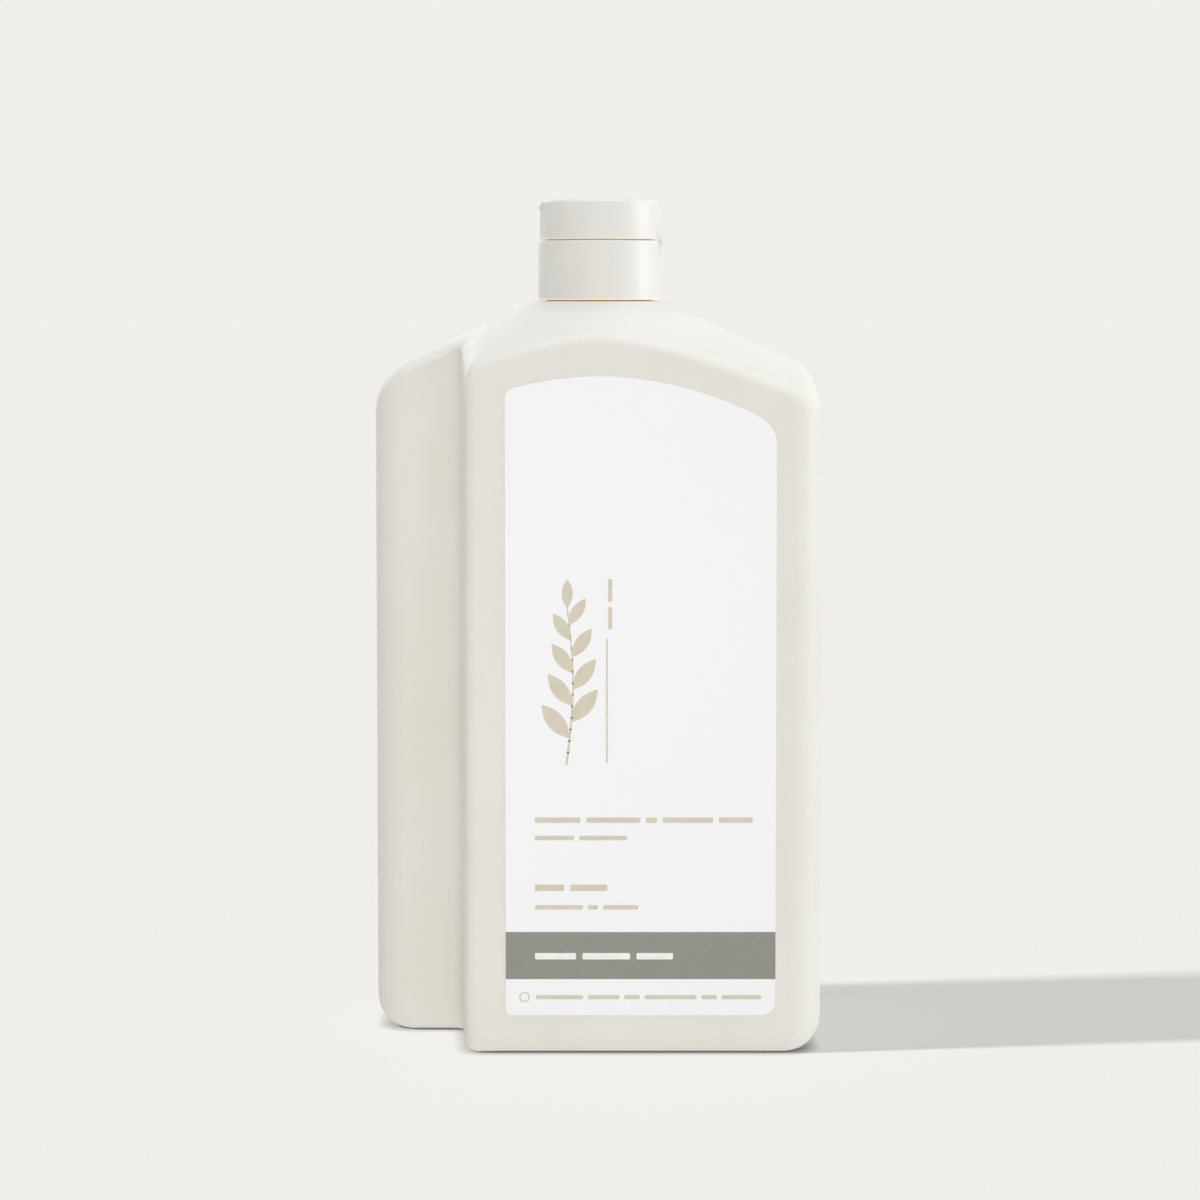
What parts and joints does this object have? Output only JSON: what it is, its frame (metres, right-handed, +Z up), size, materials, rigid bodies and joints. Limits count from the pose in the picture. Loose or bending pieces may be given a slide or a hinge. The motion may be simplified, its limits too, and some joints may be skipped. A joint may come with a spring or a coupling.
{
  "type": "hand soap refill pack",
  "caption": "Upright plastic refill bottle for liquid hand soap, with a side grip set back behind a step, a sloping shoulder, a flip-top screw cap and a front label.",
  "frame": {"origin": "on the neck axis, in the plane that the base stands on", "axes": "+Z up along the neck, -Y out of the front panel, -X towards the side grip"},
  "size_m": [0.1117, 0.0682, 0.2108],
  "materials": {
    "bottle_hdpe": "satin blown off-white plastic",
    "soap": "pale liquid soap",
    "seal_foam": "white closed-cell foam",
    "cap_polypropylene": "satin moulded off-white plastic",
    "label_film": "white satin film with a grey-green band"
  },
  "bodies": {
    "bottle_body": {"bottle": "bottle_hdpe", "liquid_soap": "soap", "front_label": "label_film"},
    "seal_body": {"sealing_ring": "seal_foam"},
    "cap_body": {"screw_cap": "cap_polypropylene"},
    "lid_body": {"flip_lid": "cap_polypropylene"}
  },
  "joints": [
    {"name": "cap_rise", "type": "slide", "parent": "bottle_body", "child": "seal_body", "axis": [0, 0, 1], "range_m": [0, 0.00634]},
    {"name": "cap_turn", "type": "hinge", "parent": "seal_body", "child": "cap_body", "pos_m": [0, 0, 0.192], "axis": [0, 0, 1], "range_deg": [0, 540]},
    {"name": "lid_flip", "type": "hinge", "parent": "cap_body", "child": "lid_body", "pos_m": [0.016, 0, 0.2008], "axis": [0, 1, 0], "range_deg": [0, 150]}
  ],
  "couplings": [
    {"joint": "cap_rise", "follows": "cap_turn", "m_per_rad": 0.00067323}
  ]
}
